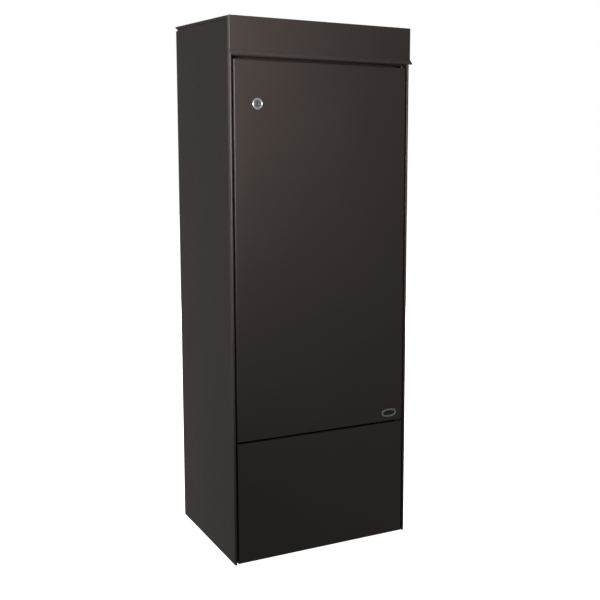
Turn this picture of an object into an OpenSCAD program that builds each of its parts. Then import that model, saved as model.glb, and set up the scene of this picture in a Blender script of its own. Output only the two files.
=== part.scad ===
// Free-standing parcel drop box: a folded sheet-steel cabinet with a front door, a lifting lid
// and a drop tray that swings with the lid.
// Frame: origin on the floor at the centre of the four anchor holes, +X to the right as seen
// from the front, the door faces -Y, +Z up. All sizes are in millimetres.

/* [Cabinet] */
// Width over the side panels
body_w = 427; // [400:1:480]
// Depth over the side panels
body_d = 328; // [310:1:380]
// Height of the roof's front edge
front_h = 1150; // [1100:5:1300]
// How much higher the roof is at the back
roof_rise = 20; // [12:1:30]
// Thickness of the folded sheet
sheet = 1.2; // [1.0:0.1:1.4]
// Thickness of the base plate
base_t = 2; // [2:0.5:4]

/* [Door and plinth] */
// Height of the line between door and plinth panel
split_z = 267.3; // [250:0.1:330]
// Width of that line
split_gap = 4; // [4:0.5:6]
// Distance of the door's top below the lid's front strip
door_drop = 17; // [16.5:0.5:26]
// Gap between the door and each side panel
door_gap = 3.4; // [3:0.1:5]
// Gap from the plinth panel down to the ground
toe_gap = 1; // [0.5:0.5:8]
// Depth of the folded returns of door and plinth panel
return_d = 18; // [17:0.5:20]
// Distance of the door's hinge axis from its edge and its face
hinge_inset = 6.5; // [6.2:0.1:7]

/* [Lid] */
// Height of the lid's front strip
strip_h = 68; // [55:0.5:80]
// Reach of the flared pull lip, forward and down
lip_reach = 8.8; // [6:0.2:12]
// Height of the lid's folded side edges
lid_edge = 6.5; // [5:0.5:10]
// Clearance between the lid and the cabinet
lid_gap = 0.4; // [0.3:0.1:1]
// Depth from the strip's face to the side panels' front edge
strip_proud = 2; // [1.8:0.1:3]

/* [Lock and badge] */
// Distance of the lock from the door's left edge
lock_inset = 52.1; // [49:0.1:53]
// Distance of the lock below the door's top edge
lock_drop = 88.2; // [70:0.1:120]
// Radius of the lock's bezel
bezel_r = 12; // [11:0.5:14]
// Width of the oval badge
badge_w = 37; // [30:1:50]
// Height of the oval badge
badge_h = 18; // [14:1:24]
// Distance of the badge's centre from the door's right edge
badge_inset = 36; // [28:0.5:60]
// Height of the badge's centre above the door's lower edge
badge_rise = 19.4; // [15:0.1:40]

/* [Drop tray] */
// Height of the tray's pivot
tray_z = 935; // [900:5:950]
// Length of the tray below its pivot
tray_len = 255; // [200:5:260]
// Distance of each link stud in front of its pivot
link_ahead = 60; // [50:1:65]
// Distance of each link stud below its pivot
link_below = 20; // [18:1:24]

/* [Anchors] */
// Spacing of the anchor holes, left to right
anchor_x = 300; // [240:10:320]
// Spacing of the anchor holes, front to back
anchor_y = 200; // [160:10:220]
// Radius of an anchor hole
anchor_r = 5.5; // [4.5:0.5:7]
// Height between the wall-fixing holes
wall_z = 700; // [500:10:760]
// Radius of a wall-fixing hole
wall_r = 4.5; // [3.5:0.5:6]

/* [Hidden] */
$fn = 48;

// Colours
coat = "#383330";
zinc = "#9a9da0";
black_steel = "#1b1b1c";
chrome = "#d8dadc";
black_rubber = "#1c1c1d";
dark_plastic = "#2b2b2d";
alloy = "#8d8f91";

// Cuts and clearances
far = 2000;                        // larger than the whole box
over = 1;                          // how far a cut runs past the sheet
slip = 0.1;                        // keeps the faces of two pieces from touching
hole_len = 5;                      // length of the tool that cuts a hole through thin sheet

// Folding
bend_steps = 4;
bend_r = 1.8;      // centre line of an ordinary bend
nose_r = 1.9;      // centre line of the two bends at a side panel's front edge
hem_r = 1.0;       // centre line of the lip's hem
face_r = 2.6;      // outer radius of the door's and plinth's front edges
lid_r = 2.2;       // outer radius of the lid's edges

// Faces of the cabinet
front_y = -body_d / 2;
rear_y = body_d / 2;
skin_x = body_w / 2 - sheet / 2;
inner_x = body_w / 2 - sheet;
jamb_x = skin_x - 2 * nose_r;
jamb_face = jamb_x - sheet / 2;
stop_y = front_y + 22;             // front face of the rebate that the door closes against
stop_reach = 15;                   // how far the rebate stands in from the jamb
rear_flange = 20;
back_y = rear_y - sheet;           // the flanges' inner face, where the back panel lies
rail_y = back_y - sheet;           // the back panel's inner face
leaf_y = rail_y - sheet;           // the rear rail's inner face
back_half = inner_x - bend_r;      // half width of the back panel, clear of the corner bends
corner_cut = 12;                   // the rear corners are cut down this far forward
roof_clear = 1;                    // gap between the roof and the side panels' top edges
notch = 8;                         // corner notch of a folded tray
base_lip = 25;
base_play = 0.2;

// Roof
lid_front = front_y - strip_proud;
lid_rear = rear_y;
roof_tilt = atan(roof_rise / (lid_rear - lid_front));
function roof_z(y) = front_h + (y - lid_front) * tan(roof_tilt);
function under_roof(y) = roof_z(y) - sheet / cos(roof_tilt);
lid_inner_x = body_w / 2 + lid_gap;
lid_x = lid_inner_x + sheet;
strip_z = front_h - strip_h;

// Lid hinge
knuckle_r = 3;
lid_pin_r = 1.6;
lid_pin_play = 0.05;
lid_hinge_y = leaf_y - sheet + knuckle_r;
lid_hinge_z = roof_z(lid_hinge_y) - (sheet + knuckle_r) / cos(roof_tilt);
knuckles = 9;
knuckle_pitch = 41;
knuckle_play = 0.8;
leaf_w = 28;
leaf_play = 0.6;                   // gap between a leaf's flat and the other leaf's knuckles
leaf_half = knuckles * knuckle_pitch / 2;
knuckle_len = knuckle_pitch - knuckle_play;
lid_pin_head_r = 2.4;
lid_pin_head_t = 1.2;
body_back_z = lid_hinge_z - knuckle_r - 3;   // top of the back panel and the rear corners

// Door
door_top = strip_z - door_drop;
door_bottom = split_z + split_gap / 2;
plinth_top = split_z - split_gap / 2;
panel_x = jamb_face - door_gap;
door_hinge_x = panel_x - hinge_inset;
door_hinge_y = front_y + hinge_inset;
hinge_return = 15;                 // depth of the door's return beside the hinge
door_pin_r = 3;
door_pin_play = 0.05;
bush_r = 4;
bush_len = 4;
bush_flange_r = 5.2;
bush_flange_t = 0.9;
pin_reach = 10;                    // how far each hinge pin reaches into the door
bracket_reach = 13;                // from the door's hinge axis to the brackets' inner ends
bracket_face = front_y + 2.2;

// Compartment
floor_z = plinth_top - sheet;
floor_lip = 20;
ledge_y = front_y + 4;             // front of the floor's ledge, under the plinth's top return
step_y = stop_y + 3;               // the floor is narrower in front of this line
drain_r = 4;
mat_t = 3;
mat_half = 188;
rail_face = front_y + 4.6;
rail_bottom = door_top + 6;
rail_top = front_h - 11;
rail_lip = 21;                     // how far the rail's rebate hangs behind the door's top edge
rebate_foot = floor_z + 4;         // lower end of the side panels' rebates
rebate_head = rail_bottom - rail_lip - 0.5;
bottom_bracket_top = door_bottom - bush_flange_t - slip;
top_bracket_bottom = rail_bottom - 3;

// Badge
badge_flat = 2.6;                  // 2 would be a plain ellipse
oval_steps = 48;

// Lock
lock_x = -panel_x + lock_inset;
lock_z = door_top - lock_drop;
plug_r = 7;
plug_play = 0.05;
barrel_r = 9.4;
barrel_len = 22;
bezel_t = 2.6;
plug_tail = 24.5;                  // from the door's face to the cam
cam_t = 2.5;
cam_len = 50;
cam_w = 15;
cam_corner = 4;
shank_w = 7;

// Tray and links
tray_y = 140;
tray_x = 196.2;                    // outer face of the tray's cheeks
tray_plate = 10;                   // the plate hangs this far behind the pivot
tray_lip = 15;
pivot_r = 4;
stud_r = 3;
pin_play = 0.05;
link_x = tray_x + 1.5;             // inner face of the link bars
link_t = 2;
link_w = 16;
clip_t = 1;
link_step = [-link_ahead, -link_below];
lid_pivot = [lid_hinge_y, lid_hinge_z];
tray_pivot = [tray_y, tray_z];
link_top = lid_pivot + link_step;
link_bottom = tray_pivot + link_step;
free_hole_r = stud_r + 0.25;       // the open pivot of the linkage
clip_r = 5.5;
clip_play = 0.3;
ear_r = 9;                         // radius of the sheet around a pivot
tray_top = tray_z + 8;
pivot_head_t = 3.8;
stud_head_t = 2.2;

// Fasteners
rivet_r = 2;
rivet_head_r = 4;
rivet_head_t = 1.3;
rivet_rim = 0.3;                   // straight edge of the head
rivet_rows = [for (i = [0 : 6]) 60 + i * (body_back_z - 110) / 6];
rivet_x = body_w / 2 - rear_flange / 2;
screw_r = 2.4;
screw_xs = [-150, 0, 150];
screw_y = front_y + 9;
leaf_rivet_xs = [for (i = [-2 : 2]) i * 82];
leaf_rivet_z = lid_hinge_z - 17;   // middle of the fixed leaf
hinge_rail_z = lid_hinge_z - 55;   // lower edge of the rear rail

// ---- helpers -------------------------------------------------------------------------------

function unit(v) = v / norm(v);
function left_of(v) = [-v[1], v[0]];
function cross2(a, b) = a[0] * b[1] - a[1] * b[0];
function turned(v, a) = [v[0] * cos(a) - v[1] * sin(a), v[0] * sin(a) + v[1] * cos(a)];

// Points of one bend, each with the normal to the left of the sheet
function bend(before, corner, after, r) =
    let (
        u = unit(corner - before),
        v = unit(after - corner),
        turn = atan2(cross2(u, v), u * v),
        side = sign(turn),
        start = corner - u * r * tan(abs(turn) / 2),
        centre = start + left_of(u) * side * r
    )
    [for (i = [0 : bend_steps])
        let (n = turned(left_of(u), turn * i / bend_steps))
        [centre - n * side * r, n]];

// Centre line of a folded sheet, with one radius for each corner
function spine(path, radii) =
    let (last = len(path) - 1)
    concat(
        [[path[0], left_of(unit(path[1] - path[0]))]],
        [for (i = [1 : last - 1]) each bend(path[i - 1], path[i], path[i + 1], radii[i - 1])],
        [[path[last], left_of(unit(path[last] - path[last - 1]))]]);

function distinct(points) =
    [for (i = [0 : len(points) - 1])
        if (i == 0 || norm(points[i] - points[max(i - 1, 0)]) > 0.01) points[i]];

// Section of a sheet of thickness t folded along a path
module folded(path, radii, t = sheet) {
    line = spine(path, radii);
    last = len(line) - 1;
    polygon(concat(
        distinct([for (p = line) p[0] + p[1] * t / 2]),
        distinct([for (i = [last : -1 : 0]) line[i][0] - line[i][1] * t / 2])));
}

// A section drawn as [y, z] and run from x0 to x1
module along_x(x0, x1) {
    translate([x0, 0, 0]) rotate([90, 0, 90]) linear_extrude(x1 - x0) children();
}

// A box from its lowest to its highest corner
module block(low, high) {
    translate(low) cube(high - low);
}

module mirrored() {
    children();
    mirror([1, 0, 0]) children();
}

// Points of a quarter arc
function arc(centre, r, from) =
    [for (i = [0 : bend_steps])
        let (a = from + 90 * i / bend_steps)
        centre + r * [cos(a), sin(a)]];

// Outline of a panel as [across, depth], half_w to each side, with its two front corners round
function rounded(half_w, front, back, r) = concat(
    arc([-half_w + r, front + r], r, 180),
    arc([half_w - r, front + r], r, 270),
    [[half_w, back], [-half_w, back]]);

// The solid form of a folded pan, inset all round
module pan_form(half_w, z0, z1, inset, back) {
    mid = (z0 + z1) / 2;
    half_h = (z1 - z0) / 2;
    r = face_r - inset;
    intersection() {
        linear_extrude(far) polygon(rounded(half_w - inset, front_y + inset, back, r));
        along_x(-half_w, half_w) polygon(
            [for (p = rounded(half_h - inset, front_y + inset, back, r)) [p[1], mid + p[0]]]);
    }
}

// A folded pan that faces the front: skin at front_y, open at the back
module pan(half_w, z0, z1, depth) {
    difference() {
        pan_form(half_w, z0, z1, 0, front_y + depth);
        pan_form(half_w, z0, z1, sheet, front_y + depth + over);
    }
}

// Turns +Z to face the front, at a point on the door's face
module on_front(x, z) {
    translate([x, front_y, z]) rotate([90, 0, 0]) children();
}

// A rivet along +Z: the head's underside at z = 0, the shank hanging below
module rivet(grip) {
    rotate_extrude() polygon(concat(
        [[0, -grip], [rivet_r, -grip], [rivet_r, 0], [rivet_head_r, 0]],
        [for (a = [0 : 15 : 90])
            [rivet_head_r * cos(a), rivet_rim + (rivet_head_t - rivet_rim) * sin(a)]]));
}

// Cuts a round hole through the sheets just in front of the plane y
module hole(x, y, z, r) {
    translate([x, y + over, z]) rotate([90, 0, 0]) cylinder(r = r, h = hole_len);
}

// A cylinder along +X from the point [y, z] on the plane x
module rod(x, centre, r, h) {
    translate([x, centre[0], centre[1]]) rotate([0, 90, 0]) cylinder(r = r, h = h);
}

// ---- cabinet -------------------------------------------------------------------------------

module side_sheet() {
    difference() {
        linear_extrude(front_h + roof_rise) folded([
            [jamb_face - stop_reach, stop_y + sheet / 2],
            [jamb_x, stop_y + sheet / 2],
            [jamb_x, front_y + sheet / 2],
            [skin_x, front_y + sheet / 2],
            [skin_x, rear_y - sheet / 2],
            [body_w / 2 - rear_flange, rear_y - sheet / 2]], [bend_r, nose_r, nose_r, bend_r]);
        along_x(0, body_w) polygon([
            [-far, under_roof(-far) - roof_clear],
            [far, under_roof(far) - roof_clear],
            [far, 2 * far],
            [-far, 2 * far]]);
        block([0, rear_y - corner_cut, body_back_z], [body_w, far, far]);
        for (cut = [[-over, rebate_foot], [rebate_head, far]]) {
            block([0, stop_y - over, cut[0]], [jamb_face - 0.01, stop_y + sheet + over, cut[1]]);
        }
        for (z = rivet_rows) {
            hole(rivet_x, rear_y, z, rivet_r);
        }
    }
}

module left_side_panel() {
    color(coat) mirror([1, 0, 0]) side_sheet();
}

module right_side_panel() {
    color(coat) side_sheet();
}

module back_panel() {
    foot_gap = 3;
    color(coat) difference() {
        block([-back_half, rail_y, foot_gap], [back_half, back_y, body_back_z]);
        for (x = [-rivet_x, rivet_x], z = rivet_rows) {
            hole(x, rear_y, z, rivet_r);
        }
        for (x = [-anchor_x, anchor_x] / 2, z = [body_back_z - wall_z, body_back_z + wall_z] / 2) {
            hole(x, rear_y, z, wall_r);
        }
    }
}

module base_plate() {
    base_front = stop_y + sheet + base_play;
    color(zinc) difference() {
        block([-inner_x, base_front, 0], [inner_x, rail_y, base_lip]);
        block([-inner_x + base_t, base_front + base_t, base_t], [inner_x - base_t, rail_y - base_t, far]);
        for (x = [-anchor_x, anchor_x] / 2, y = [-anchor_y, anchor_y] / 2) {
            translate([x, y, -over]) cylinder(r = anchor_r, h = base_t + 2 * over);
        }
        mirrored() for (y = [base_front, rail_y]) {
            block([inner_x - notch, y - notch, base_t], [far, y + notch, far]);
        }
    }
}

module compartment_floor() {
    under = floor_z - sheet;
    drop = floor_z - floor_lip;
    color(coat) difference() {
        union() {
            block([-inner_x, step_y, under], [inner_x, rail_y, floor_z]);
            block([-jamb_face, ledge_y, under], [jamb_face, step_y, floor_z]);
            block([-jamb_face + notch, ledge_y, drop], [jamb_face - notch, ledge_y + sheet, floor_z]);
            block([-inner_x + notch, rail_y - sheet, drop], [inner_x - notch, rail_y, floor_z]);
            mirrored() block([inner_x - sheet, stop_y + notch, drop], [inner_x, rail_y - notch, floor_z]);
        }
        for (x = screw_xs) {
            translate([x, screw_y, under - over]) cylinder(r = screw_r, h = hole_len);
        }
        mirrored() for (y = [stop_y + 4 * drain_r, rail_y - 2.5 * drain_r]) {
            translate([inner_x - 3 * drain_r, y, under - over]) cylinder(r = drain_r, h = hole_len);
        }
    }
}

module floor_mat() {
    margin_front = 8;
    margin_rear = 4;
    color(black_rubber) block([-mat_half, stop_y + margin_front, floor_z],
        [mat_half, tray_y - margin_rear, floor_z + mat_t]);
}

module plinth_panel() {
    bracket_cut = bracket_reach + over;
    color(coat) difference() {
        pan(panel_x, toe_gap, plinth_top, return_d);
        mirrored() block([panel_x - sheet - slip, ledge_y - over / 2, floor_z - sheet - 2 * slip],
            [far, far, floor_z]);
        block([door_hinge_x - bracket_cut, bracket_face - 2 * slip, floor_z - slip], [far, far, far]);
        for (x = screw_xs) {
            translate([x, screw_y, floor_z - over]) cylinder(r = screw_r, h = hole_len);
        }
    }
}

module plinth_screws() {
    head_r = 4.5;
    rim_t = 1.4;
    crown_t = 0.8;
    socket_r = 1.6;
    shank = 12;
    color(black_steel) for (x = screw_xs) {
        translate([x, screw_y, plinth_top]) difference() {
            union() {
                translate([0, 0, -shank]) cylinder(r = screw_r, h = shank);
                cylinder(r = head_r, h = rim_t);
                translate([0, 0, rim_t]) cylinder(r1 = head_r, r2 = 0.8 * head_r, h = crown_t);
            }
            translate([0, 0, 0.4 * (rim_t + crown_t)]) cylinder(r = socket_r, h = shank, $fn = 6);
        }
    }
}

module top_rail() {
    color(coat) along_x(-jamb_face, jamb_face) folded([
        [stop_y + over, rail_bottom - rail_lip],
        [stop_y + over, rail_bottom + sheet / 2],
        [rail_face, rail_bottom + sheet / 2],
        [rail_face, rail_top],
        [stop_y + 2 * over, rail_top]], [bend_r, bend_r, bend_r]);
}

module rear_rail() {
    flange = 14;
    half = inner_x - 0.5;
    color(coat) difference() {
        along_x(-half, half) folded([
            [leaf_y - flange, hinge_rail_z],
            [rail_y - sheet / 2, hinge_rail_z],
            [rail_y - sheet / 2, body_back_z]], [bend_r]);
        leaf_rivet_holes();
    }
}

module leaf_rivet_holes() {
    for (x = leaf_rivet_xs) {
        hole(x, rail_y, leaf_rivet_z, rivet_r);
    }
}

module back_rivets() {
    color(coat) for (x = [-rivet_x, rivet_x], z = rivet_rows) {
        translate([x, rear_y, z]) rotate([-90, 0, 0]) rivet(2 * sheet);
    }
}

// One leaf's knuckles: first is 0 or 1, so that the two leaves alternate
module knuckle_row(first) {
    for (i = [first : 2 : knuckles - 1]) {
        x = (i - (knuckles - 1) / 2) * knuckle_pitch - knuckle_len / 2;
        translate([x, 0, 0]) difference() {
            union() {
                rod(0, [0, 0], knuckle_r, knuckle_len);
                children();
            }
            rod(-over, [0, 0], lid_pin_r + lid_pin_play, knuckle_len + 2 * over);
        }
    }
}

module lid_hinge_fixed_leaf() {
    neck = -knuckle_r - 1;
    color(coat) difference() {
        translate([0, lid_hinge_y, lid_hinge_z]) {
            knuckle_row(0) block([0, -knuckle_r, neck], [knuckle_len, -knuckle_r + sheet, 0]);
            block([-leaf_half, -knuckle_r, -leaf_w], [leaf_half, -knuckle_r + sheet, -knuckle_r - leaf_play]);
        }
        leaf_rivet_holes();
    }
}

module lid_hinge_pin() {
    sink = 0.2;
    color(zinc) {
        rod(-leaf_half, lid_pivot, lid_pin_r, 2 * leaf_half);
        mirrored() rod(leaf_half - sink, lid_pivot, lid_pin_head_r, lid_pin_head_t);
    }
}

module hinge_leaf_rivets() {
    color(zinc) for (x = leaf_rivet_xs) {
        translate([x, leaf_y - sheet, leaf_rivet_z]) rotate([90, 0, 0]) rivet(2 * sheet);
    }
}

module lid_bumpers() {
    seat = rail_top + sheet / 2;
    x = 150;
    y = stop_y - 8;
    collar_r = 6;
    collar_h = 7;
    stem_r = 4;
    air = 0.3;
    color(black_rubber) mirrored() translate([x, y, seat]) {
        cylinder(r = collar_r, h = collar_h);
        cylinder(r = stem_r, h = under_roof(y - stem_r) - seat - air);
    }
}

// Rubber strips on the rebate's front face
module door_seal() {
    strip_t = 3.6;
    strip_w = 9;
    strip_x = jamb_face - 13;
    foot = floor_z + 6;
    rail_seat = stop_y + over - sheet / 2;
    across_z = rail_bottom - 12.5;
    color(black_rubber) {
        mirrored() block([strip_x, stop_y - strip_t, foot], [strip_x + strip_w, stop_y, rebate_head - 0.5]);
        block([-strip_x - strip_w, rail_seat - strip_t, across_z],
            [strip_x + strip_w, rail_seat, across_z + strip_w - slip]);
    }
}

module hinge_bracket(z0, z1) {
    side_play = 0.6;
    color(black_steel) difference() {
        block([door_hinge_x - bracket_reach, bracket_face, z0], [jamb_face - side_play, stop_y - over, z1]);
        translate([door_hinge_x, door_hinge_y, z0 - over]) cylinder(r = door_pin_r, h = z1 - z0 + 2 * over);
    }
}

module door_hinge_bracket_top() {
    hinge_bracket(top_bracket_bottom, rail_bottom);
}

module door_hinge_bracket_bottom() {
    hinge_bracket(floor_z, bottom_bracket_top);
}

module door_pin(z0, z1) {
    color(black_steel) translate([door_hinge_x, door_hinge_y, z0]) cylinder(r = door_pin_r, h = z1 - z0);
}

module door_hinge_pin_top() {
    door_pin(door_top - pin_reach, rail_bottom);
}

module door_hinge_pin_bottom() {
    door_pin(floor_z, door_bottom + pin_reach);
}

// Boss on the right-hand side panel that the tray's pivot pin turns in
module tray_bracket() {
    plate_t = 2.5;
    plate_half_d = 17;
    plate_half_h = 20;
    boss_r = 9;
    boss_len = 9;
    color(zinc) difference() {
        union() {
            block([inner_x - plate_t, tray_y - plate_half_d, tray_z - plate_half_h],
                [inner_x, tray_y + plate_half_d, tray_z + plate_half_h]);
            rod(inner_x - boss_len, tray_pivot, boss_r, boss_len - over);
        }
        rod(inner_x - boss_len - over, tray_pivot, pivot_r + pin_play, boss_len + 2 * over);
    }
}

module tray_bracket_left() {
    mirror([1, 0, 0]) tray_bracket();
}

module tray_bracket_right() {
    tray_bracket();
}

// ---- door ----------------------------------------------------------------------------------

module door_panel() {
    color(coat) difference() {
        pan(panel_x, door_bottom, door_top, return_d);
        block([door_hinge_x, front_y + hinge_return, 0], [far, far, far]);
        on_front(lock_x, lock_z) translate([0, 0, -hole_len])
            cylinder(r = barrel_r + slip, h = 2 * hole_len);
        for (z = [door_bottom, door_top]) {
            translate([door_hinge_x, door_hinge_y, z - hole_len / 2]) cylinder(r = bush_r, h = hole_len);
        }
    }
}

module door_stiffener() {
    centre_x = 40;
    end_gap = 30;
    flange_x = 36;
    crown_x = 20;
    face = front_y + 1.5 * sheet;
    crown = front_y + 14;
    color(coat) translate([centre_x, 0, door_bottom + end_gap])
        linear_extrude(door_top - door_bottom - 2 * end_gap) folded([
            [-flange_x, face],
            [-crown_x, face],
            [-crown_x, crown],
            [crown_x, crown],
            [crown_x, face],
            [flange_x, face]], [bend_r, bend_r, bend_r, bend_r]);
}

module door_bush() {
    color(dark_plastic) difference() {
        union() {
            translate([0, 0, -bush_flange_t]) cylinder(r = bush_flange_r, h = bush_flange_t);
            cylinder(r = bush_r, h = bush_len);
        }
        translate([0, 0, -bush_len]) cylinder(r = door_pin_r + door_pin_play, h = 3 * bush_len);
    }
}

module door_bush_bottom() {
    translate([door_hinge_x, door_hinge_y, door_bottom]) door_bush();
}

module door_bush_top() {
    translate([door_hinge_x, door_hinge_y, door_top]) mirror([0, 0, 1]) door_bush();
}

module lock_housing() {
    bore = plug_r + plug_play;
    shoulder = 1.4;
    throat = bezel_t - 0.8;
    color(chrome) on_front(lock_x, lock_z) rotate_extrude() polygon(concat(
        [[bore, -barrel_len], [barrel_r, -barrel_len], [barrel_r, 0], [bezel_r, 0]],
        arc([bezel_r - shoulder, bezel_t - shoulder], shoulder, 0),
        [[bore + 1.4, bezel_t], [bore + 0.4, throat], [bore, throat]]));
}

module lock_nut() {
    nut_t = 4;
    nut_r = 14;
    color(zinc) on_front(lock_x, lock_z) translate([0, 0, -sheet - nut_t]) difference() {
        cylinder(r = nut_r, h = nut_t, $fn = 6);
        translate([0, 0, -over]) cylinder(r = barrel_r, h = nut_t + 2 * over);
    }
}

// Point at angle t on an oval with flattened sides and ends
function oval_point(a, b, t) =
    let (power = 2 / badge_flat)
    [a * sign(cos(t)) * pow(abs(cos(t)), power), b * sign(sin(t)) * pow(abs(sin(t)), power)];

module oval(a, b) {
    polygon([for (i = [0 : oval_steps - 1]) oval_point(a, b, 360 * i / oval_steps)]);
}

module badge() {
    rim_w = 1.6;
    rim_t = 1.3;
    face_t = 0.8;
    color(alloy) on_front(panel_x - badge_inset, door_bottom + badge_rise) difference() {
        linear_extrude(rim_t) oval(badge_w / 2, badge_h / 2);
        translate([0, 0, face_t]) linear_extrude(rim_t) oval(badge_w / 2 - rim_w, badge_h / 2 - rim_w);
    }
}

// ---- lock plug and cam ---------------------------------------------------------------------

module lock_plug() {
    recess = 1.1;
    slot_w = 1.7;
    slot_h = 8.6;
    slot_z = 1.2;
    slot_depth = 12;
    face = bezel_t - recess;
    half = shank_w / 2;
    color(chrome) on_front(lock_x, lock_z) {
        difference() {
            translate([0, 0, -plug_tail]) cylinder(r = plug_r, h = plug_tail + face);
            block([-slot_w / 2, slot_z - slot_h / 2, face - slot_depth],
                [slot_w / 2, slot_z + slot_h / 2, far]);
        }
        block([-half, -half, -plug_tail - cam_t], [half, half, -plug_tail]);
    }
}

module lock_cam() {
    eye_r = 10;
    corner_x = cam_w / 2 - cam_corner;
    half = shank_w / 2;
    color(zinc) on_front(lock_x, lock_z) translate([0, 0, -plug_tail - cam_t]) difference() {
        union() {
            cylinder(r = eye_r, h = cam_t);
            block([-cam_w / 2, -cam_len + cam_corner, 0], [cam_w / 2, 0, cam_t]);
            block([-corner_x, -cam_len, 0], [corner_x, -cam_len + cam_corner + over, cam_t]);
            for (x = [-corner_x, corner_x]) {
                translate([x, -cam_len + cam_corner, 0]) cylinder(r = cam_corner, h = cam_t);
            }
        }
        block([-half, -half, -over], [half, half, cam_t + over]);
    }
}

module cam_screw() {
    tail = -plug_tail - cam_t;
    washer_r = 6;
    washer_t = 1;
    head_r = 4.6;
    head_t = 3;
    color(zinc) on_front(lock_x, lock_z) {
        translate([0, 0, tail - washer_t]) cylinder(r = washer_r, h = washer_t);
        translate([0, 0, tail - washer_t - head_t]) cylinder(r = head_r, h = head_t, $fn = 6);
    }
}

// ---- lid -----------------------------------------------------------------------------------

// The lid's outer form, inset all round: roof on top, strip in front, open below
module lid_form(inset) {
    r = lid_r - inset;
    half = lid_x - inset;
    face = lid_front + inset;
    lift = inset / cos(roof_tilt);
    intersection() {
        linear_extrude(far) polygon(rounded(half, face, far, r));
        along_x(-half, half) polygon(concat(
            [[far, strip_z], [face, strip_z]],
            [for (p = bend([face, strip_z], [face, roof_z(face) - lift],
                [far, roof_z(far) - lift], r)) p[0]],
            [[far, roof_z(far) - lift]]));
        translate([0, lid_front, front_h]) rotate([90 + roof_tilt, 0, 0]) translate([0, 0, -far / 2])
            linear_extrude(far) polygon([for (p = rounded(half, inset, far, r)) [p[0], -p[1]]]);
    }
}

module lid_shell() {
    edge_y = lid_front + lid_edge;
    rear_cut = lid_hinge_y - 2 * knuckle_r;
    color(coat) {
        difference() {
            lid_form(0);
            lid_form(sheet);
            block([-far, lid_rear, 0], [far, far, far]);
            along_x(-far, far) polygon([
                [edge_y, 0],
                [edge_y, roof_z(edge_y) - lid_edge],
                [far, roof_z(far) - lid_edge],
                [far, 0]]);
            mirrored() block([inner_x, rear_cut, 0], [far, far, roof_z(rear_cut) - lid_r]);
        }
        pull_lip();
    }
}

// The flared lip under the strip, with its edge folded back behind it
module pull_lip() {
    half = lid_x - 0.5;
    mid = lid_front + sheet / 2;
    root_z = strip_z - 0.4;
    hem = 6;
    tip = [mid - lip_reach, root_z - lip_reach];
    down = unit([-1, -1]);
    fold = 2 * hem_r * unit([1, -1]);
    along_x(-half, half) folded([
        [mid, strip_z + 0.5],
        [mid, root_z],
        tip,
        tip + fold,
        tip + fold - down * hem], [hem_r, hem_r, hem_r]);
}

module lid_hinge_moving_leaf() {
    under = knuckle_r - sheet;
    color(coat) translate([0, lid_hinge_y, lid_hinge_z]) rotate([roof_tilt, 0, 0]) {
        knuckle_row(1) block([0, -knuckle_r - 1, under], [knuckle_len, 0, knuckle_r]);
        block([-leaf_half, -leaf_w, under], [leaf_half, -knuckle_r - leaf_play, knuckle_r]);
    }
}

// Bracket under the roof with the stud that carries a link bar
module lid_arm() {
    arm_t = 2;
    foot_w = 20;
    foot_half = 14;
    local = turned(link_step, -roof_tilt);
    color(zinc) {
        translate([0, lid_hinge_y, lid_hinge_z]) rotate([roof_tilt, 0, 0]) {
            block([tray_x - foot_w, local[0] - foot_half, knuckle_r - arm_t],
                [tray_x, local[0] + foot_half, knuckle_r]);
            along_x(tray_x - arm_t, tray_x) union() {
                translate(local) circle(r = ear_r);
                translate([local[0] - ear_r, local[1]]) square([2 * ear_r, knuckle_r - local[1]]);
            }
        }
        link_stud(link_top, tray_x - over);
    }
}

// A stud that runs outward from the plane x0, through a link bar and its clip
module link_stud(centre, x0) {
    past_clip = 1.4;
    rod(x0, centre, stud_r, link_x + link_t + clip_t + past_clip - x0);
}

module lid_arm_left() {
    mirror([1, 0, 0]) lid_arm();
}

module lid_arm_right() {
    lid_arm();
}

// Retaining washers on the outer ends of one pair of studs
module clips(centre) {
    x = link_x + link_t + clip_play;
    color(zinc) mirrored() difference() {
        rod(x, centre, clip_r, clip_t);
        rod(x - over, centre, stud_r, clip_t + 2 * over);
    }
}

module lid_arm_clips() {
    clips(link_top);
}

module link_bar() {
    run = link_bottom - link_top;
    color(zinc) along_x(link_x, link_x + link_t) difference() {
        union() {
            translate(link_top) circle(d = link_w);
            translate(link_bottom) circle(d = link_w);
            translate(link_top) rotate(atan2(run[1], run[0])) translate([0, -link_w / 2])
                square([norm(run), link_w]);
        }
        translate(link_top) circle(r = stud_r + pin_play);
        translate(link_bottom) circle(r = free_hole_r);
    }
}

module link_bar_left() {
    mirror([1, 0, 0]) link_bar();
}

module link_bar_right() {
    link_bar();
}

// ---- drop tray -----------------------------------------------------------------------------

// One cheek: an ear round each pivot and a web that narrows towards the tray's foot
module tray_cheek() {
    plate_y = tray_y + tray_plate;
    foot = tray_z - tray_len;
    waist = [plate_y - 32, tray_z - 110];
    along_x(tray_x - sheet, tray_x) union() {
        translate(link_bottom) circle(r = ear_r);
        translate(tray_pivot) circle(r = ear_r);
        polygon([
            [plate_y, tray_top],
            [plate_y, foot],
            [plate_y - tray_lip, foot],
            waist,
            link_bottom + [-4, -8.1],
            link_bottom + [-2, 8.8],
            tray_pivot + [-3, 8.5]]);
    }
}

module drop_tray() {
    plate_mid = tray_y + tray_plate + sheet / 2;
    foot_mid = tray_z - tray_len - sheet / 2;
    color(coat) difference() {
        union() {
            along_x(-tray_x, tray_x) folded([
                [plate_mid, tray_top],
                [plate_mid, foot_mid],
                [plate_mid - tray_lip, foot_mid]], [bend_r]);
            mirrored() tray_cheek();
        }
        rod(-far / 2, tray_pivot, pivot_r, far);
        rod(-far / 2, link_bottom, stud_r, far);
    }
}

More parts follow.
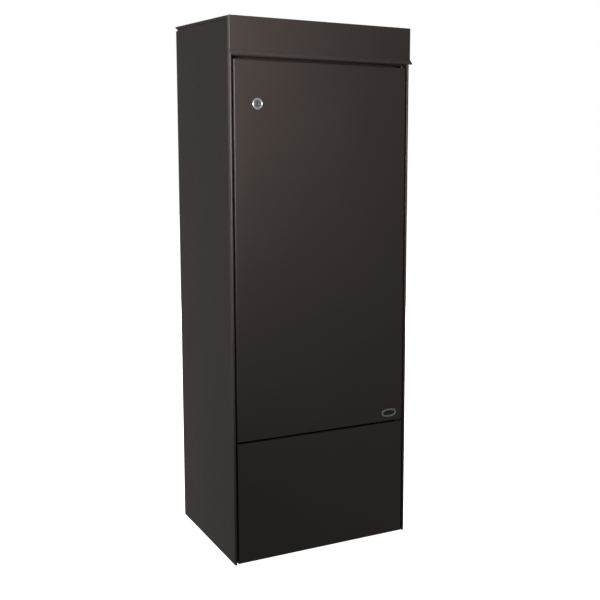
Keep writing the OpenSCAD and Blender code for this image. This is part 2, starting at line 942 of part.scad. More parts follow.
// Pins riveted through the cheeks: heads inside, journals outside
module tray_pins() {
    cheek = tray_x - sheet;
    head_r = 6.5;
    color(zinc) mirrored() {
        rod(cheek - pivot_head_t, tray_pivot, pivot_r, inner_x - over - cheek + pivot_head_t);
        rod(cheek - pivot_head_t, tray_pivot, head_r, pivot_head_t);
        rod(cheek - stud_head_t, link_bottom, head_r - 1.5, stud_head_t);
        link_stud(link_bottom, cheek - stud_head_t);
    }
}

module tray_clips() {
    clips(link_bottom);
}

left_side_panel();
right_side_panel();
back_panel();
base_plate();
compartment_floor();
floor_mat();
plinth_panel();
plinth_screws();
top_rail();
rear_rail();
back_rivets();
lid_hinge_fixed_leaf();
lid_hinge_pin();
hinge_leaf_rivets();
lid_bumpers();
door_seal();
door_hinge_bracket_top();
door_hinge_bracket_bottom();
door_hinge_pin_top();
door_hinge_pin_bottom();
tray_bracket_left();
tray_bracket_right();
door_panel();
door_stiffener();
door_bush_top();
door_bush_bottom();
lock_housing();
lock_nut();
badge();
lock_plug();
lock_cam();
cam_screw();
lid_shell();
lid_hinge_moving_leaf();
lid_arm_left();
lid_arm_right();
lid_arm_clips();
link_bar_left();
link_bar_right();
drop_tray();
tray_pins();
tray_clips();
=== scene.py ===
"""Looks for the parcel drop box: camera, soft studio light, materials and fine detail.

Everything is in metres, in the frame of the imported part. The door faces -Y.
"""

import math
import random

import bmesh
import bpy
from mathutils import Matrix, Vector


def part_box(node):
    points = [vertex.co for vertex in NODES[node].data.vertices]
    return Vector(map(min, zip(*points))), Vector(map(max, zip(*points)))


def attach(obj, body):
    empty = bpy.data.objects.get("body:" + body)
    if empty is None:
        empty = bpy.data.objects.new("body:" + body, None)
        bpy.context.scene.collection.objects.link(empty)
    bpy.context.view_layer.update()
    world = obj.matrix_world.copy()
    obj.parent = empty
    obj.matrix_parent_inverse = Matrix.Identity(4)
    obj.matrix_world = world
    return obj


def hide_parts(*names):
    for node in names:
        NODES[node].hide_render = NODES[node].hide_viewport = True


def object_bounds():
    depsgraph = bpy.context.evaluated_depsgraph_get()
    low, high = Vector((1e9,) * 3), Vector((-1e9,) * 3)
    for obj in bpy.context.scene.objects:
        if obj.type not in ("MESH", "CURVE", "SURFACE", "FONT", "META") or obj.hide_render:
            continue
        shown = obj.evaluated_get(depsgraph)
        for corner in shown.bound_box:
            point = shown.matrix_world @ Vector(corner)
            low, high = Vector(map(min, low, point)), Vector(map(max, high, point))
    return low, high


MM = 0.001
FULL_TURN = 2 * math.pi
WHITE = (1, 1, 1, 1)

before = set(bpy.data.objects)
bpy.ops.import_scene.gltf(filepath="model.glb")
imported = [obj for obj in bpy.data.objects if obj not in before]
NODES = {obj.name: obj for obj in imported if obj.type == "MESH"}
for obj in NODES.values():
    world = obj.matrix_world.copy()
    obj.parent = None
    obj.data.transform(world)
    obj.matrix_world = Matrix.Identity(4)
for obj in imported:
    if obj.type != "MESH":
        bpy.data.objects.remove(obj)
cad_low, cad_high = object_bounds()
front_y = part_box("door_panel")[0].y


# ---- camera --------------------------------------------------------------------------------

CAMERA_AT = (-0.9058, -1.8678, 0.8494)
CAMERA_YAW = math.radians(26.47)      # from +Y towards +X
CAMERA_PITCH = math.radians(-6.96)
CAMERA_ROLL = -0.0024                 # radians
CAMERA_LENS = 53.82                   # millimetres, on a 36 mm sensor
CAMERA_SHIFT = -0.040


def make_camera():
    data = bpy.data.cameras.new("camera")
    data.lens = CAMERA_LENS
    data.sensor_width = 36
    data.shift_y = CAMERA_SHIFT
    data.clip_start, data.clip_end = 0.05, 60
    level = math.cos(CAMERA_PITCH)
    ahead = Vector((math.sin(CAMERA_YAW) * level, math.cos(CAMERA_YAW) * level, math.sin(CAMERA_PITCH)))
    right = ahead.cross(Vector((0, 0, 1))).normalized()
    up = right.cross(ahead)
    right, up = (right * math.cos(CAMERA_ROLL) + up * math.sin(CAMERA_ROLL),
                 up * math.cos(CAMERA_ROLL) - right * math.sin(CAMERA_ROLL))
    turn = Matrix((right, up, -ahead)).transposed()
    camera = bpy.data.objects.new("camera", data)
    camera.matrix_world = Matrix.Translation(CAMERA_AT) @ turn.to_4x4()
    bpy.context.scene.collection.objects.link(camera)
    bpy.context.scene.camera = camera


# ---- studio --------------------------------------------------------------------------------

FILL = 0.20                           # strength of the even fill from all sides
FLOOR_RADIUS = 14
FLOOR_DROP = 0.5 * MM                 # the floor lies this far under the box
FLOOR_GLOW = 1.1                      # enough to look as white as the background
FLAG_GAP = 4 * MM                     # from the card's edge to the box
FLAG_DEPTH = 6 * MM                   # from the door's face back to the card
FLAG_WIDTH = 2.4
FLAG_ABOVE = 1.2
FLAG_BELOW = 0.4


def soft_light(name, at, aim, size, watts, spread=180):
    data = bpy.data.lights.new(name, "AREA")
    data.shape = "RECTANGLE"
    data.size, data.size_y = size
    data.energy = watts
    data.spread = math.radians(spread)
    light = bpy.data.objects.new(name, data)
    light.location = at
    light.rotation_mode = "QUATERNION"
    light.rotation_quaternion = (Vector(aim) - Vector(at)).to_track_quat("-Z", "Y")
    light.visible_camera = False
    bpy.context.scene.collection.objects.link(light)


def make_world():
    """Plain white to the camera, and a dim even fill for everything else."""
    world = bpy.data.worlds.new("studio")
    bpy.context.scene.world = world
    world.use_nodes = True
    tree = world.node_tree
    tree.nodes.clear()
    out = tree.nodes.new("ShaderNodeOutputWorld")
    seen = tree.nodes.new("ShaderNodeBackground")
    seen.inputs["Color"].default_value = WHITE
    seen.inputs["Strength"].default_value = 1.0
    lit = tree.nodes.new("ShaderNodeBackground")
    lit.inputs["Color"].default_value = WHITE
    lit.inputs["Strength"].default_value = FILL
    ray = tree.nodes.new("ShaderNodeLightPath")
    mix = tree.nodes.new("ShaderNodeMixShader")
    tree.links.new(ray.outputs["Is Camera Ray"], mix.inputs["Fac"])
    tree.links.new(lit.outputs[0], mix.inputs[1])
    tree.links.new(seen.outputs[0], mix.inputs[2])
    tree.links.new(mix.outputs[0], out.inputs["Surface"])


def make_floor():
    """A plain pale floor that the camera sees but that throws no light on the box."""
    mesh = bpy.data.meshes.new("floor")
    bm = bmesh.new()
    bmesh.ops.create_circle(bm, cap_ends=True, segments=96, radius=FLOOR_RADIUS)
    bm.to_mesh(mesh)
    bm.free()
    floor = bpy.data.objects.new("floor", mesh)
    floor.location = (0, 0, -FLOOR_DROP)
    floor.visible_diffuse = False
    floor.visible_glossy = False
    bpy.context.scene.collection.objects.link(floor)
    mat = bpy.data.materials.new("pale_floor")
    mat.use_nodes = True
    shader = mat.node_tree.nodes["Principled BSDF"]
    shader.inputs["Base Color"].default_value = (0.9, 0.9, 0.9, 1)
    shader.inputs["Roughness"].default_value = 0.9
    shader.inputs["Specular IOR Level"].default_value = 0.1
    shader.inputs["Emission Color"].default_value = WHITE
    shader.inputs["Emission Strength"].default_value = FLOOR_GLOW
    mesh.materials.append(mat)


def make_flag():
    """An unseen card, level with the door's front, that keeps the key light off the cabinet's side."""
    right = cad_low.x - FLAG_GAP
    left = right - FLAG_WIDTH
    bottom = cad_low.z - FLAG_BELOW
    top = cad_high.z + FLAG_ABOVE
    corners = [(left, bottom), (right, bottom), (right, top), (left, top)]
    bm = bmesh.new()
    bm.faces.new([bm.verts.new((x, front_y + FLAG_DEPTH, z)) for x, z in corners])
    mesh = bpy.data.meshes.new("flag")
    bm.to_mesh(mesh)
    bm.free()
    flag = bpy.data.objects.new("flag", mesh)
    for ray in ("visible_camera", "visible_diffuse", "visible_glossy", "visible_transmission"):
        setattr(flag, ray, False)
    bpy.context.scene.collection.objects.link(flag)


def make_studio():
    view = bpy.context.scene.view_settings
    view.view_transform = "Standard"
    view.look = "None"
    view.exposure = 0
    view.gamma = 1
    make_world()
    make_floor()
    make_flag()
    soft_light("key", (-0.952, -0.80, 1.00), (-0.21, -0.165, 1.683), (0.4, 0.4), 17.5, spread=152)
    soft_light("left", (-3.0, 0.45, 0.62), (0, 0.45, 0.62), (1.1, 2.6), 39)
    soft_light("right", (2.8, 1.3, 1.1), (0.2, 0, 0.6), (2.6, 2.6), 75)
    soft_light("back", (1.3, 3.0, 1.5), (0, 0.1, 0.6), (1.6, 2.4), 60)
    soft_light("top", (0.2, 0.4, 3.4), (0, 0, 1.1), (2.0, 2.0), 30)


# ---- materials -----------------------------------------------------------------------------

class Nodes:
    """A short way to wire one material's node tree."""

    def __init__(self, name):
        self.mat = bpy.data.materials.new(name)
        self.mat.use_nodes = True
        self.tree = self.mat.node_tree
        self.shader = self.tree.nodes["Principled BSDF"]
        self.where = self.node("ShaderNodeTexCoord").outputs["Object"]

    def node(self, kind, **values):
        made = self.tree.nodes.new(kind)
        for key, value in values.items():
            setattr(made, key, value)
        return made

    def link(self, a, b):
        self.tree.links.new(a, b)

    def noise(self, scale, detail, rough, seed):
        """Noise from 0 to 1; scale is in cells per metre."""
        made = self.node("ShaderNodeTexNoise", noise_dimensions="4D")
        made.inputs["Scale"].default_value = scale
        made.inputs["Detail"].default_value = detail
        made.inputs["Roughness"].default_value = rough
        made.inputs["W"].default_value = seed
        self.link(self.where, made.inputs["Vector"])
        return made.outputs["Fac"]

    def span(self, source, low, high, from_low=0.3, from_high=0.7):
        """Maps from_low..from_high to low..high; most noise lies between the two defaults."""
        made = self.node("ShaderNodeMapRange")
        self.link(source, made.inputs["Value"])
        made.inputs["From Min"].default_value = from_low
        made.inputs["From Max"].default_value = from_high
        made.inputs["To Min"].default_value = low
        made.inputs["To Max"].default_value = high
        return made.outputs["Result"]

    def mix(self, fac, a, b):
        """Colour a where fac is 0 and colour b where it is 1."""
        made = self.node("ShaderNodeMix", data_type="RGBA")
        self.link(fac, made.inputs[0])
        for socket, value in ((made.inputs[6], a), (made.inputs[7], b)):
            if isinstance(value, tuple):
                socket.default_value = (*value, 1)
            else:
                self.link(value, socket)
        return made.outputs[2]

    def bump(self, height, distance, normal=None):
        made = self.node("ShaderNodeBump")
        made.inputs["Strength"].default_value = 1.0
        made.inputs["Distance"].default_value = distance
        self.link(height, made.inputs["Height"])
        if normal is not None:
            self.link(normal, made.inputs["Normal"])
        return made.outputs["Normal"]

    def edge(self, radius):
        """1 on rounded edges, 0 on flats."""
        bevel = self.node("ShaderNodeBevel", samples=4)
        bevel.inputs["Radius"].default_value = radius
        dot = self.node("ShaderNodeVectorMath", operation="DOT_PRODUCT")
        self.link(bevel.outputs[0], dot.inputs[0])
        self.link(self.node("ShaderNodeNewGeometry").outputs["Normal"], dot.inputs[1])
        return self.span(dot.outputs["Value"], 1.0, 0.0, 0.80, 0.995)


def scaled(colour, factor, lift=0.0):
    return tuple(c * factor + lift for c in colour)


def powder_coat(name, base, seed=0.0, fine=1.0):
    """Satin powder coat: faint clouds and specks, paler edges as a painted highlight where the coat is also
    thinner, fine orange peel on a slow wave.
    """
    n = Nodes(name)
    shader = n.shader
    cloud = n.noise(6, 3, 0.5, seed)
    speck = n.noise(900, 2, 0.6, seed + 3)
    edge_highlight_and_thin_coat = n.edge(0.8 * MM)
    tone = n.mix(n.span(cloud, 0.0, 1.0), scaled(base, 0.95), scaled(base, 1.05))
    tone = n.mix(n.span(speck, 0.0, 0.16, 0.5, 0.75), tone, scaled(base, 1.9))
    # paler rounded edges: painted highlight, and partly a thinner coat there
    tone = n.mix(n.span(edge_highlight_and_thin_coat, 0.0, 0.35, 0, 1), tone, scaled(base, 1.7, 0.004))
    n.link(tone, shader.inputs["Base Color"])
    n.link(n.span(n.noise(260, 2, 0.6, seed + 5), 0.40, 0.52), shader.inputs["Roughness"])
    shader.inputs["Specular IOR Level"].default_value = 0.42
    peel = n.bump(n.noise(620, 2, 0.55, seed + 7), 0.06 * MM * fine)
    wave = n.bump(n.noise(9, 1, 0.4, seed + 9), 0.6 * MM, normal=peel)
    n.link(wave, shader.inputs["Normal"])
    return n.mat


def plated(name, base=(0.47, 0.48, 0.50), rough=0.38, metal=1.0, seed=0.0):
    """Dull plating: small crystals of differing tone, darker stains and a fine grain."""
    n = Nodes(name)
    shader = n.shader
    cells = n.node("ShaderNodeTexVoronoi", voronoi_dimensions="4D", feature="F1")
    cells.inputs["Scale"].default_value = 130
    cells.inputs["W"].default_value = seed
    n.link(n.where, cells.inputs["Vector"])
    flake = n.node("ShaderNodeSeparateColor")
    n.link(cells.outputs["Color"], flake.inputs[0])
    stain = n.noise(24, 3, 0.6, seed + 2)
    tone = n.mix(n.span(flake.outputs[0], 0.0, 0.5, 0, 1), base, scaled(base, 0.78))
    tone = n.mix(n.span(stain, 0.0, 0.4, 0.45, 0.8), tone, scaled(base, 0.62))
    n.link(tone, shader.inputs["Base Color"])
    shader.inputs["Metallic"].default_value = metal
    grain = n.noise(500, 2, 0.6, seed + 4)
    n.link(n.span(grain, rough - 0.07, rough + 0.12), shader.inputs["Roughness"])
    n.link(n.bump(grain, 0.02 * MM), shader.inputs["Normal"])
    return n.mat


def finish(n, colours, roughs, peel, seed):
    """A blotchy colour, a roughness that varies and a fine bump; each noise is (scale, detail, rough)."""
    blotch, first, second = colours
    fine, least, most = roughs
    relief, depth = peel
    n.link(n.mix(n.span(n.noise(*blotch, seed), 0, 1), first, second), n.shader.inputs["Base Color"])
    n.link(n.span(n.noise(*fine, seed + 1), least, most), n.shader.inputs["Roughness"])
    n.link(n.bump(n.noise(*relief, seed + 2), depth), n.shader.inputs["Normal"])
    return n.mat


def satin_nickel(name, tone, seed=0.0):
    """Satin nickel plate with faint smudges; tone is its lightness."""
    n = Nodes(name)
    n.shader.inputs["Metallic"].default_value = 0.8
    clean = (tone, tone, tone)
    smudged = (1.12 * tone, 1.12 * tone, 1.14 * tone)
    return finish(n, ((140, 3, 0.6), clean, smudged), ((500, 3, 0.6), 0.28, 0.40),
                  ((900, 2, 0.5), 0.006 * MM), seed)


def rubber(name, seed=0.0):
    """Dull black rubber with a little pale dust."""
    black = (0.010, 0.010, 0.011)
    dusty = (0.024, 0.023, 0.022)
    return finish(Nodes(name), ((60, 4, 0.6), black, dusty), ((400, 2, 0.6), 0.62, 0.82),
                  ((1100, 2, 0.6), 0.05 * MM), seed)


def acetal(name, seed=0.0):
    """Black bearing plastic with a slightly uneven gloss."""
    dark = (0.022, 0.022, 0.023)
    pale = (0.034, 0.034, 0.036)
    return finish(Nodes(name), ((90, 3, 0.6), dark, pale), ((500, 2, 0.5), 0.38, 0.55),
                  ((700, 2, 0.5), 0.02 * MM), seed)


COAT = (0.0415, 0.0325, 0.0292)
SLOT_MATERIALS = {
    "powder_coat": powder_coat("powder_coat_brown_black", COAT),
    "zinc_steel": plated("zinc_plated_steel"),
    "black_steel": plated("black_zinc_plate", base=(0.020, 0.020, 0.021), rough=0.50, metal=0.5, seed=8.0),
    "lock_chrome": satin_nickel("lock_nickel", tone=0.56),
    "black_rubber": rubber("black_epdm"),
    "bush_plastic": acetal("black_acetal"),
    "badge_metal": plated("badge_alloy", base=(0.44, 0.44, 0.45), rough=0.40, metal=0.35, seed=4.0),
}
# the plug's nickel: a darker copy of the bezel's, painted shade on the plug's recessed face
PLUG_NICKEL_PAINTED_SHADE = satin_nickel("lock_plug_nickel_painted_shade", tone=0.26, seed=3.0)
BADGE_DARK = powder_coat("badge_enamel", (0.018, 0.018, 0.019), seed=6.0, fine=0.3)


# ---- CAD nodes -------------------------------------------------------------------------------

WELD_REACH = 0.02 * MM
FLAT_ANGLE = math.radians(0.6)        # neighbouring faces flatter than this are joined
EDGE_RADIUS = 0.25 * MM
EDGE_ANGLE = math.radians(35)


def dress_cad_nodes():
    """Each shown CAD node gets its material, and a small real radius on its sharp edges."""
    for name, obj in NODES.items():
        for holder in obj.material_slots:
            holder.material = SLOT_MATERIALS[holder.material.name.split(".")[0]]
            if name == "lock_plug":
                holder.material = PLUG_NICKEL_PAINTED_SHADE
        weld = obj.modifiers.new("weld", "WELD")
        weld.merge_threshold = WELD_REACH
        flat = obj.modifiers.new("flat", "DECIMATE")
        flat.decimate_type = "DISSOLVE"
        flat.angle_limit = FLAT_ANGLE
        bevel = obj.modifiers.new("edge_radius", "BEVEL")
        bevel.width = EDGE_RADIUS
        bevel.segments = 2
        bevel.limit_method = "ANGLE"
        bevel.angle_limit = EDGE_ANGLE
        bevel.harden_normals = True
        bevel.miter_outer = "MITER_ARC"
        obj.data.attributes.remove(obj.data.attributes["custom_normal"])
        for polygon in obj.data.polygons:
            polygon.use_smooth = True


# ---- detail pieces: shared mesh code ---------------------------------------------------------

FRONT = Matrix.Rotation(math.radians(90), 4, "X")      # local +Z to the front, local +Y up
BACK = Matrix.Rotation(math.radians(-90), 4, "X")      # local +Z to the back
SHEET = 1.2 * MM
SAME_POINT = 1e-4 * MM


def at(x, y, z, turn):
    return Matrix.Translation((x, y, z)) @ turn


def mm(points):
    """Points given in millimetres, in metres."""
    return [(a * MM, b * MM) for a, b in points]


def around(count):
    """Angles evenly round a full turn."""
    return [FULL_TURN * i / count for i in range(count)]


def circle(bm, place, radius, height, count):
    """A ring of vertices round the local Z axis of place."""
    return [bm.verts.new(place @ Vector((radius * math.cos(t), radius * math.sin(t), height)))
            for t in around(count)]


def band(bm, a, b):
    """Faces between two closed rings of the same length."""
    count = len(a)
    return [bm.faces.new((a[i], a[(i + 1) % count], b[(i + 1) % count], b[i])) for i in range(count)]


def skin(bm, rings):
    """Joins each closed ring to the next, and closes the first and the last."""
    for a, b in zip(rings, rings[1:]):
        band(bm, a, b)
    bm.faces.new(rings[0])
    bm.faces.new(rings[-1])


def fan(bm, ring):
    """Triangles that close a ring from its first corner."""
    for a, b in zip(ring[1:], ring[2:]):
        bm.faces.new((ring[0], a, b))


def new_piece(name, bm, body, slot_name, smooth=35):
    """One mesh piece with its material, riding on a body."""
    bmesh.ops.remove_doubles(bm, verts=bm.verts, dist=SAME_POINT)
    bmesh.ops.recalc_face_normals(bm, faces=bm.faces)
    mesh = bpy.data.meshes.new(name)
    bm.to_mesh(mesh)
    bm.free()
    mesh.materials.append(SLOT_MATERIALS[slot_name])
    piece = bpy.data.objects.new(name, mesh)
    bpy.context.scene.collection.objects.link(piece)
    mesh.shade_smooth()
    mesh.set_sharp_from_angle(angle=math.radians(smooth))
    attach(piece, body)
    return piece


def lathe(bm, profile, place, segments):
    """Turns a profile of (radius, height) about the local Z axis of place."""
    rings = []
    for radius, height in profile:
        if radius > 0:
            rings.append(circle(bm, place, radius, height, segments))
        else:
            rings.append([bm.verts.new(place @ Vector((0, 0, height)))])
    for a, b in zip(rings, rings[1:]):
        if len(a) == len(b):
            band(bm, a, b)
        elif len(a) == 1:
            for i in range(segments):
                bm.faces.new((a[0], b[(i + 1) % segments], b[i]))
        else:
            for i in range(segments):
                bm.faces.new((a[i], a[(i + 1) % segments], b[0]))


def hexagon(bm, levels, across_corners, bore, place):
    """A nut or screw head; levels are (height, largest radius), which chamfers the corners."""
    segments = 72
    flat = across_corners / 2 * math.cos(math.radians(30))

    def radius(angle, limit):
        from_flat = (math.degrees(angle) % 60) - 30
        return min(flat / math.cos(math.radians(from_flat)), limit)

    def ring(height, limit):
        return [bm.verts.new(place @ Vector((radius(t, limit) * math.cos(t), radius(t, limit) * math.sin(t),
                                             height))) for t in around(segments)]

    rings = [ring(height, limit) for height, limit in levels]
    if not bore:
        skin(bm, rings)
        return
    for height in (levels[-1][0], levels[0][0]):
        rings.append(circle(bm, place, bore, height, segments))
    rings.append(rings[0])
    for a, b in zip(rings, rings[1:]):
        band(bm, a, b)


def bead(bm, start, end, radius, seed):
    """A weld bead of overlapping ripples from start to end."""
    ripple = 1.6 * MM
    cuts = 4                          # rings for each ripple
    segments = 12
    start, end = Vector(start), Vector(end)
    along = end - start
    steps = max(6, int(along.length / ripple) * cuts)
    turn = along.to_track_quat("Z", "Y").to_matrix().to_4x4()
    chance = random.Random(seed)
    rings = []
    for k in range(steps + 1):
        share = k / steps
        taper = min(1.0, min(share, 1 - share) * along.length / radius + 0.25)
        swell = 0.92 + 0.10 * abs(math.sin(math.pi * k / cuts)) + chance.uniform(-0.03, 0.03)
        place = Matrix.Translation(start + along * share) @ turn
        rings.append(circle(bm, place, radius * taper * swell, 0, segments))
    skin(bm, rings)


def solids(node):
    """The lowest and highest corner of each separate solid of a CAD node."""
    bm = bmesh.new()
    bm.from_mesh(NODES[node].data)
    bmesh.ops.remove_doubles(bm, verts=bm.verts, dist=WELD_REACH)
    found, seen = [], set()
    for first in bm.verts:
        if first in seen:
            continue
        seen.add(first)
        todo, low, high = [first], first.co.copy(), first.co.copy()
        while todo:
            vert = todo.pop()
            low = Vector(map(min, low, vert.co))
            high = Vector(map(max, high, vert.co))
            for edge in vert.link_edges:
                other = edge.other_vert(vert)
                if other not in seen:
                    seen.add(other)
                    todo.append(other)
        found.append((low, high))
    bm.free()
    return sorted(found, key=lambda box: tuple(round(c, 5) for c in (*box[0], *box[1])))


# ---- detail pieces: fasteners and lock ---------------------------------------------------------

RIVET_HEAD_T = 1.3 * MM
# a domed head with the mandrel's hole and its broken end, as (radius, height)
RIVET_HEAD = mm([(4.0, 0.0), (4.0, 0.34), (3.65, 0.78), (2.9, 1.12), (2.0, 1.3), (1.35, 1.3),
                 (1.15, 1.18), (1.12, 0.72), (0.88, 0.66), (0.86, 0.86), (0.5, 0.98), (0, 1.0)])
# the tail that the mandrel swells on the blind side, as (radius, height)
RIVET_TAIL = mm([(2.0, 0.0), (2.9, 0.15), (3.1, 0.9), (2.8, 1.7), (1.9, 2.2), (0.95, 2.35),
                 (0.9, 2.75), (0.7, 2.9), (0, 2.92)])


def make_rivets(name, node, slot_name, to_back):
    """Blind rivets of the cabinet; those with their heads to the back show their tails inside."""
    bm = bmesh.new()
    for low, high in solids(node):
        x, z = (low.x + high.x) / 2, (low.z + high.z) / 2
        if to_back:
            lathe(bm, RIVET_HEAD, at(x, high.y - RIVET_HEAD_T, z, BACK), 32)
            lathe(bm, RIVET_TAIL, at(x, low.y, z, FRONT), 24)
        else:
            lathe(bm, RIVET_HEAD, at(x, low.y + RIVET_HEAD_T, z, FRONT), 32)
    piece = new_piece(name, bm, "cabinet", slot_name)
    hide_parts(node)


lock_low, lock_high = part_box("lock_housing")
lock_x, lock_z = (lock_low.x + lock_high.x) / 2, (lock_low.z + lock_high.z) / 2


def make_lock_body():
    """The cam lock's body: a bezel with a dished face, and a threaded barrel behind the door."""
    rim = (lock_high.x - lock_low.x) / 2
    bore = 7.05 * MM
    crest = 9.38 * MM
    root = 8.85 * MM
    pitch = 1.0 * MM
    thread_end = -6.6 * MM
    bezel_t = 2.6                     # millimetres, the height that the dish below is drawn for
    tail = front_y - lock_high.y
    height = tail + 0.4 * MM
    profile = [(bore, tail), (8.7 * MM, tail), (9.1 * MM, height)]
    while height < thread_end:
        profile += [(crest, height + 0.35 * pitch), (crest, height + 0.5 * pitch),
                    (root, height + 0.85 * pitch), (root, height + pitch)]
        height += pitch
    profile += [(crest, -5.4 * MM), (crest, 0), (rim - 0.15 * MM, 0), (rim, 0.15 * MM)]
    dish = [(0, 0.9), (0.12, 1.35), (0.5, 1.85), (1.1, 2.3), (1.8, 2.55), (2.4, 2.6), (2.9, 2.5),
            (3.3, 2.1), (3.5, 1.5), (3.7, 1.32)]
    proud = (front_y - lock_low.y) / bezel_t
    profile += [(rim - inset * MM, rise * proud) for inset, rise in dish]
    profile += [(bore + 0.25 * MM, 1.28 * proud), (bore, 1.05 * proud), (bore, tail)]
    bm = bmesh.new()
    lathe(bm, profile, at(lock_x, front_y, lock_z, FRONT), 96)
    piece = new_piece("lock_body", bm, "door", "lock_chrome", smooth=50)
    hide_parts("lock_housing")


def make_lock_nut():
    """The hexagon nut that clamps the lock behind the door."""
    low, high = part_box("lock_nut")
    thick = high.y - low.y
    corners = high.x - low.x
    bm = bmesh.new()
    hexagon(bm, [(0, corners * 0.46), (0.5 * MM, corners), (thick - 0.9 * MM, corners),
                 (thick, corners * 0.455)], corners, 9.42 * MM, at(lock_x, low.y, lock_z, BACK))
    piece = new_piece("lock_hex_nut", bm, "door", "zinc_steel")
    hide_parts("lock_nut")


def make_cam_screw():
    """The cam's hexagon screw on its round washer."""
    low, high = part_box("cam_screw")
    place = at(lock_x, low.y, lock_z, BACK)
    bm = bmesh.new()
    lathe(bm, mm([(0, 0), (5.8, 0), (6.0, 0.2), (6.0, 0.8), (5.8, 1.0), (0, 1.0)]), place, 48)
    hexagon(bm, mm([(1.0, 4.1), (1.3, 9), (3.3, 9), (4.0, 4.0)]), 9.2 * MM, 0, place)
    piece = new_piece("cam_hex_screw", bm, "lock_core", "zinc_steel")
    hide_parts("cam_screw")


# ---- detail pieces: badge, mat, seals and welds ---------------------------------------------------

def oval(bm, place, a, b, height, segments):
    """A ring of vertices on an oval with flattened sides and ends."""
    flatness = 2.6                    # 2 would be a plain ellipse
    power = 2 / flatness
    ring = []
    for t in around(segments):
        across = math.copysign(abs(math.cos(t)) ** power, math.cos(t))
        up = math.copysign(abs(math.sin(t)) ** power, math.sin(t))
        ring.append(bm.verts.new(place @ Vector((a * across, b * up, height))))
    return ring


def make_badge():
    """A blank oval badge: a dark, faintly crowned face inside a raised rim and a fine inner line."""
    low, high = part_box("badge")
    wide, tall = (high.x - low.x) / 2, (high.z - low.z) / 2
    place = at((low.x + high.x) / 2, high.y, (low.z + high.z) / 2, FRONT)
    rim = [(0.0, 0.0), (0.0, 0.75), (0.15, 1.05), (0.5, 1.27), (0.9, 1.3), (1.3, 1.18), (1.55, 0.8)]
    ditch = [(1.8, 0.62), (2.5, 0.6)]
    line = [(2.7, 0.72), (3.0, 0.78), (3.3, 0.72), (3.5, 0.6)]
    face = [(4.6, 0.64), (6.2, 0.7), (7.8, 0.74)]
    dark_from = [len(rim), len(rim + ditch + line)]
    bm = bmesh.new()
    rings = [oval(bm, place, wide - inset, tall - inset, height, 72)
             for inset, height in mm(rim + ditch + line + face)]
    for k, (a, b) in enumerate(zip(rings, rings[1:])):
        dark = k == dark_from[0] or k >= dark_from[1] - 1
        for quad in band(bm, a, b):
            quad.material_index = int(dark)
    bm.faces.new(rings[-1]).material_index = 1
    bm.faces.new(rings[0])
    piece = new_piece("badge_oval", bm, "door", "badge_metal", smooth=60)
    piece.data.materials.append(BADGE_DARK)
    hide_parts("badge")


def mat_section(low, high):
    """The mat's section as (y, z): a flat border and a row of rounded ribs."""
    pitch = 9 * MM
    border = 8 * MM
    base, top = low.z + 1.5 * MM, high.z
    rib = [(0.16, 0.0), (0.22, 0.45), (0.30, 0.85), (0.42, 1.0), (0.66, 1.0), (0.78, 0.85),
           (0.86, 0.45), (0.92, 0.0)]
    edge = mm([(0, 1.0), (0.4, 0.3), (1.2, 0)])
    count = int((high.y - low.y - 2 * border) / pitch)
    first = (low.y + high.y) / 2 - count * pitch / 2
    last = first + count * pitch
    section = [(low.y, low.z)] + [(low.y + inset, top - drop) for inset, drop in edge]
    section += [(first - 2 * MM, top), (first - 0.6 * MM, top - 0.5 * MM), (first, base)]
    for i in range(count):
        section += [(first + (i + share) * pitch, base + rise * (top - base)) for share, rise in rib]
    section += [(last, base), (last + 0.6 * MM, top - 0.5 * MM), (last + 2 * MM, top)]
    section += [(high.y - inset, top - drop) for inset, drop in reversed(edge)]
    section.append((high.y, low.z))
    return section


def make_mat():
    """Rubber mat with rounded ribs that run from side to side."""
    low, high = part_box("floor_mat")
    section = mat_section(low, high)
    side = [(0, 0.55), (0.4 * MM, 0.85), (1.2 * MM, 1.0)]
    stations = [(low.x + inset, share) for inset, share in side]
    stations += [(high.x - inset, share) for inset, share in reversed(side)]
    bm = bmesh.new()
    rings = [[bm.verts.new((x, y, low.z + (z - low.z) * share)) for y, z in section]
             for x, share in stations]
    for a, b in zip(rings, rings[1:]):
        band(bm, a, b)
    fan(bm, rings[0])
    fan(bm, rings[-1])
    piece = new_piece("mat_ribbed", bm, "cabinet", "black_rubber")
    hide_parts("floor_mat")


def seal_section(width, thick):
    """A seal's section as (across, out): a flat foot and a round bulb that the door presses."""
    foot = 0.28 * thick
    arc_steps = 12
    half = [(width / 2, 0), (width / 2, foot * 0.7), (width / 2 - 0.4 * MM, foot), (0.36 * width, foot)]
    bulb = [(0.33 * width * math.cos(t), foot + (thick - foot) * math.sin(t) ** 0.8)
            for t in (math.pi * i / arc_steps for i in range(arc_steps + 1))]
    return half + bulb + [(-across, out) for across, out in reversed(half)]


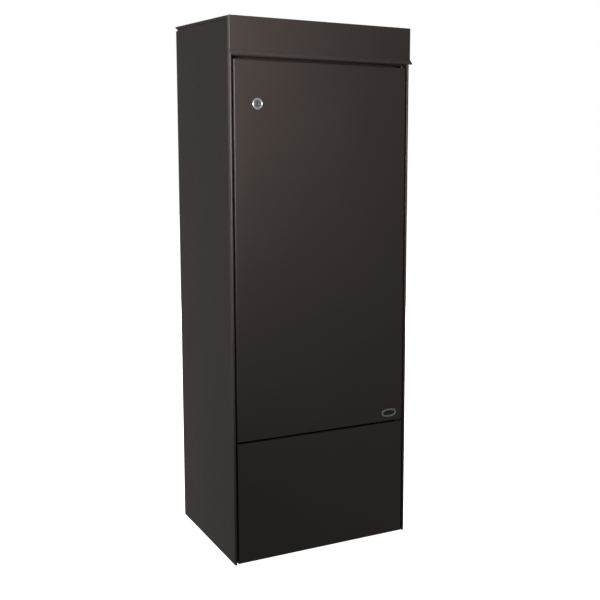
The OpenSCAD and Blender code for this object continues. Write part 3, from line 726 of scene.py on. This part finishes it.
def make_seals():
    """Rubber bulb seals of the rebate, upright or level as the CAD strips are."""
    bm = bmesh.new()
    for low, high in solids("door_seal"):
        size = high - low
        upright = size.z > size.x
        width, length = (size.x, size.z) if upright else (size.z, size.x)
        centre = (low + high) / 2
        rings = []
        for place, share in ((0, 0.82), (0.6 * MM, 1), (length - 0.6 * MM, 1), (length, 0.82)):
            away = place - length / 2
            ring = []
            for across, out in seal_section(width, size.y):
                aside = (across * share, away) if upright else (away, across * share)
                ring.append(bm.verts.new((centre.x + aside[0], high.y - out * share, centre.z + aside[1])))
            rings.append(ring)
        skin(bm, rings)
    piece = new_piece("seal_strips", bm, "cabinet", "black_rubber")
    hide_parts("door_seal")


def make_spot_welds():
    """Two rows of spot welds that hold the stiffener to the door's skin."""
    count = 12
    inset_x = 8 * MM
    inset_z = 25 * MM
    crater = mm([(3.6, -0.05), (3.3, 0.10), (2.9, 0.20), (2.5, 0.12), (2.2, 0.02), (0, 0.0)])
    low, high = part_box("door_stiffener")
    step = (high.z - low.z - 2 * inset_z) / (count - 1)
    bm = bmesh.new()
    for x in (low.x + inset_x, high.x - inset_x):
        for i in range(count):
            lathe(bm, crater, at(x, low.y + SHEET, low.z + inset_z + i * step, BACK), 24)
    new_piece("stiffener_spot_welds", bm, "door", "powder_coat")


def make_corner_welds():
    """Beads inside the two corners at the left of the door's pan."""
    low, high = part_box("door_panel")
    x = low.x + SHEET
    bm = bmesh.new()
    for seed, z in enumerate((low.z + SHEET, high.z - SHEET)):
        bead(bm, (x, front_y + 4 * MM, z), (x, high.y - 1.5 * MM, z), 1.3 * MM, seed)
    new_piece("door_corner_welds", bm, "door", "powder_coat", smooth=80)


def make_stitch_welds():
    """Short beads between the tray's plate and each of its cheeks."""
    length = 22 * MM
    low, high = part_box("drop_tray")
    y = high.y - SHEET
    bm = bmesh.new()
    for x in (low.x + SHEET, high.x - SHEET):
        for i, share in enumerate((0.12, 0.42, 0.72)):
            z = low.z + share * (high.z - low.z)
            bead(bm, (x, y, z), (x, y, z + length), 1.3 * MM, 10 + i)
    new_piece("tray_stitch_welds", bm, "tray", "powder_coat", smooth=80)


make_camera()
make_studio()
dress_cad_nodes()
make_rivets("back_rivet_set", "back_rivets", "powder_coat", to_back=True)
make_rivets("leaf_rivet_set", "hinge_leaf_rivets", "zinc_steel", to_back=False)
make_lock_body()
make_lock_nut()
make_cam_screw()
make_badge()
make_mat()
make_seals()
make_spot_welds()
make_corner_welds()
make_stitch_welds()
